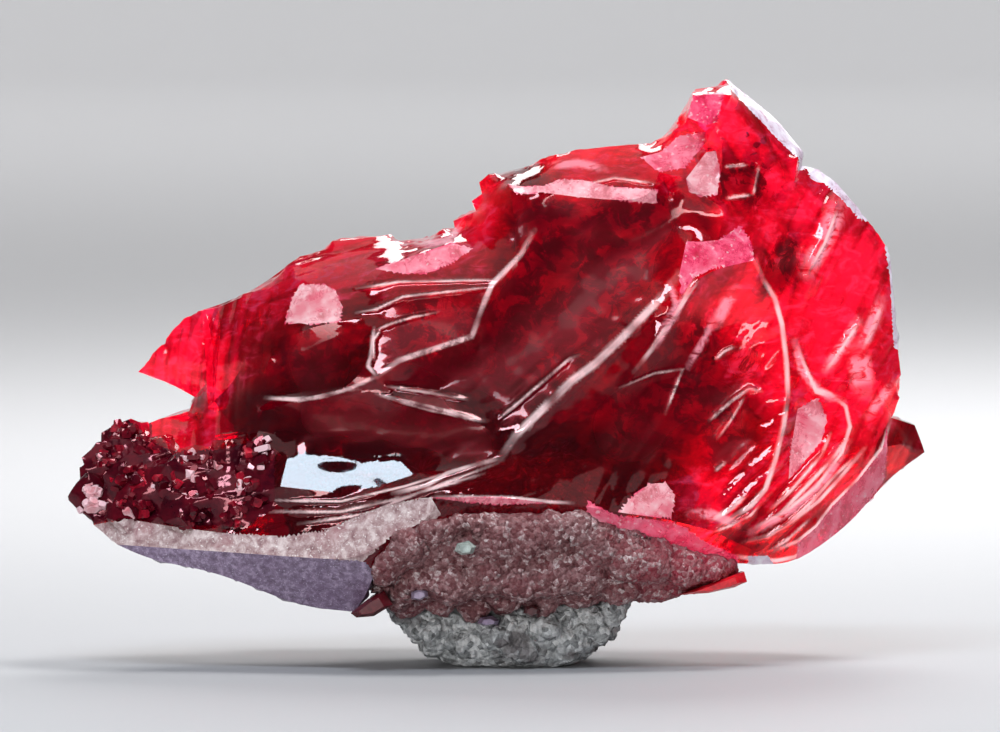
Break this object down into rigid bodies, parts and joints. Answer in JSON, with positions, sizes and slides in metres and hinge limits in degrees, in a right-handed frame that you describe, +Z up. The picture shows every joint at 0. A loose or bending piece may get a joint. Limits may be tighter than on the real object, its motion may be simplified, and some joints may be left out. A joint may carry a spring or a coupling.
{
  "type": "cuprite on matrix",
  "caption": "Broken gem-red cuprite crystal, wedge-shaped with shell-like fracture faces and a cluster of small crystals at one end, held on a knob of brown granular rock with a grey foot.",
  "frame": {"origin": "middle of the footprint at the level of the foot's flat underside", "axes": "+Z up, +X along the length towards the peaked end, the crystal's broken show face looks along -Y"},
  "size_m": [0.0602, 0.0254, 0.041],
  "materials": {
    "cuprite_gem": "clear deep red crystal, glossy fracture faces and frosted growth faces",
    "brown_rock": "granular brown rock with small glinting grains",
    "grey_rock": "coarse grey sugary rock",
    "cuprite_dark": "dark red glossy crystal",
    "cuprite_bright": "bright red glossy crystal",
    "cuprite_frosted": "lavender frosted crystal face",
    "pale_mineral": "pale grey-green grain"
  },
  "bodies": {
    "root": {"cuprite_crystal": "cuprite_gem", "brown_matrix": "brown_rock", "grey_foot": "grey_rock", "dark_red_blade": "cuprite_dark", "dark_red_grain": "cuprite_dark", "red_sliver": "cuprite_bright", "lavender_blade": "cuprite_frosted", "lavender_chip": "cuprite_frosted", "pale_grain": "pale_mineral"}
  },
  "joints": []
}
